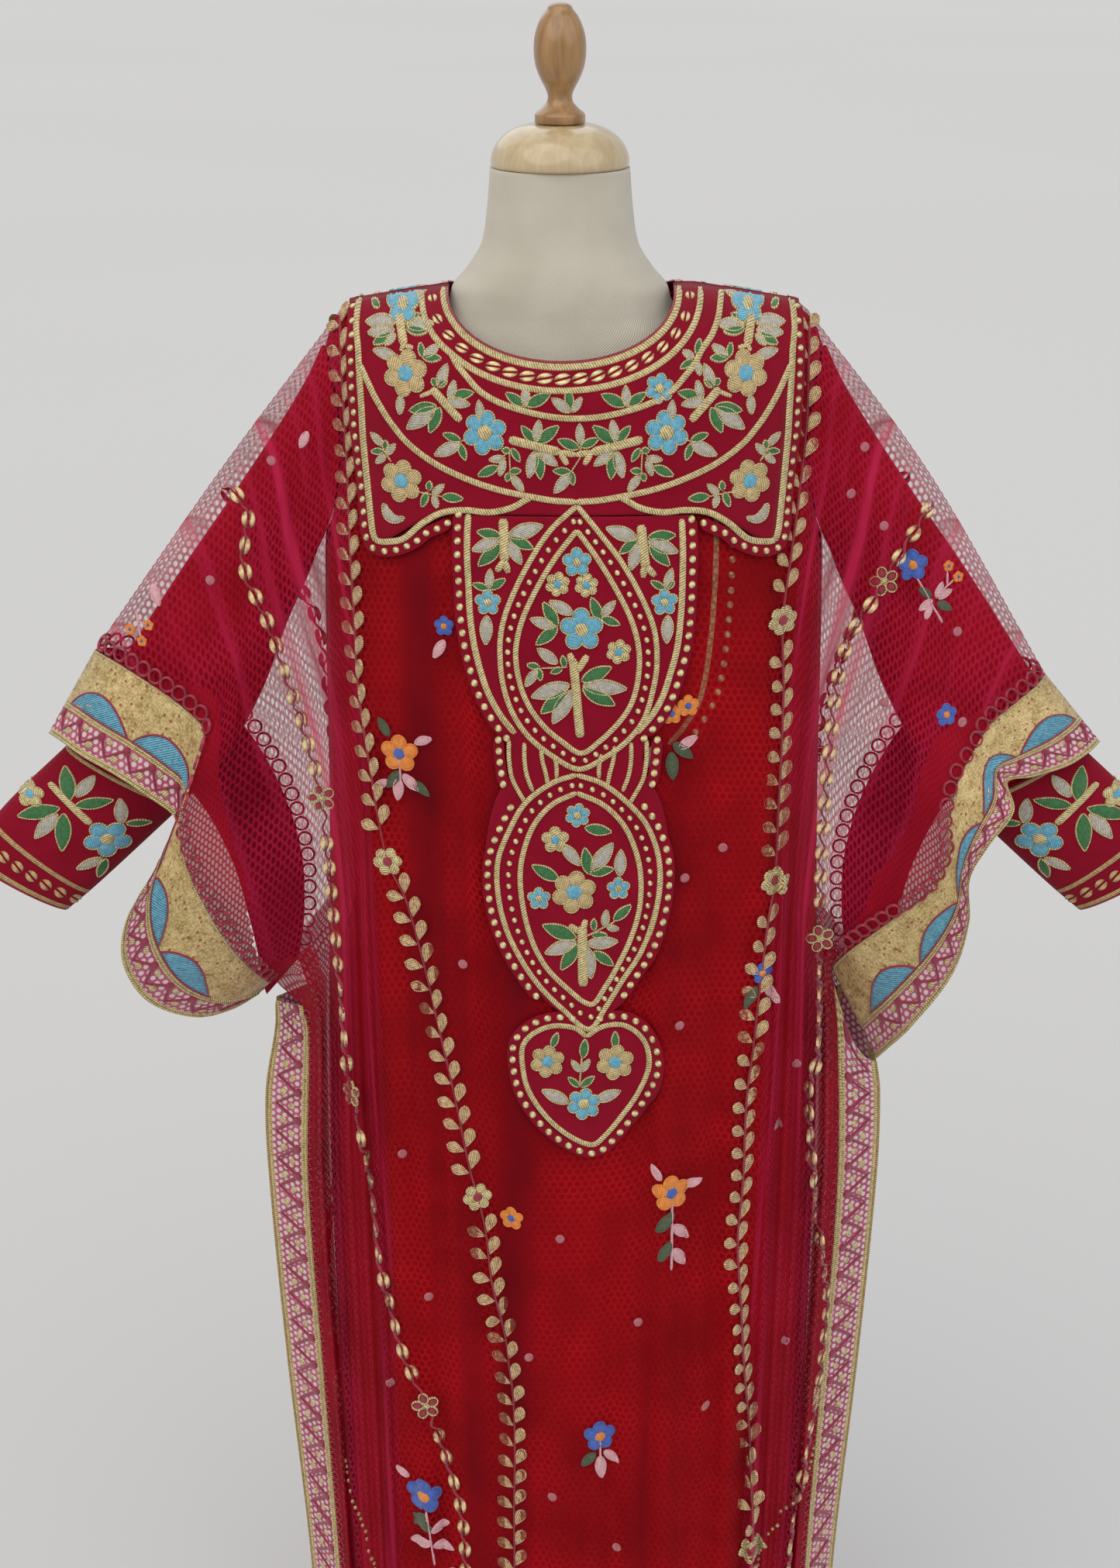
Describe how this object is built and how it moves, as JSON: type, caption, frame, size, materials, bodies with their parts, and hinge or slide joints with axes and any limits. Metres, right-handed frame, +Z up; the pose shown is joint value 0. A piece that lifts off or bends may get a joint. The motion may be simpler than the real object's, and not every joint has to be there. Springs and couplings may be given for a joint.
{
  "type": "net thobe and its under-robe on a dress form",
  "caption": "Wide-sleeved sheer net thobe with embroidered yoke, long front piece and gold borders, over its matching under-robe, worn by a limbless dress form on a round stand.",
  "frame": {"origin": "centre of the stand's underside, on the floor", "axes": "+Z up along the dress form's axis, -Y towards the garment's front, +X towards the viewer's right"},
  "size_m": [1.094, 0.3151, 1.6968],
  "materials": {
    "net": "semi-sheer matt net",
    "robe_cloth": "soft satin sheen",
    "embroidered_ground": "matt ground closely worked in gold",
    "gold_border": "metallic thread",
    "canvas": "matt twill",
    "cap_wood": "varnished",
    "finial_wood": "varnished",
    "base_wood": "varnished",
    "steel": "brushed"
  },
  "bodies": {
    "root": {"form_base": "base_wood", "form_pole": "steel", "form_torso": "canvas", "form_cap": "cap_wood", "form_finial": "finial_wood", "robe_front": "robe_cloth", "thobe_front": "net", "yoke_front": "embroidered_ground", "thobe_side_front_left": "net", "sleeve_border_front_left": "gold_border", "side_band_front_left": "gold_border", "thobe_side_front_right": "net", "sleeve_border_front_right": "gold_border", "side_band_front_right": "gold_border", "robe_back": "robe_cloth", "thobe_back": "net", "yoke_back": "embroidered_ground", "thobe_side_back_left": "net", "sleeve_border_back_left": "gold_border", "side_band_back_left": "gold_border", "thobe_side_back_right": "net", "sleeve_border_back_right": "gold_border", "side_band_back_right": "gold_border", "robe_sleeve_left": "robe_cloth", "robe_cuff_left": "embroidered_ground", "robe_sleeve_right": "robe_cloth", "robe_cuff_right": "embroidered_ground", "plastron": "embroidered_ground"}
  },
  "joints": []
}
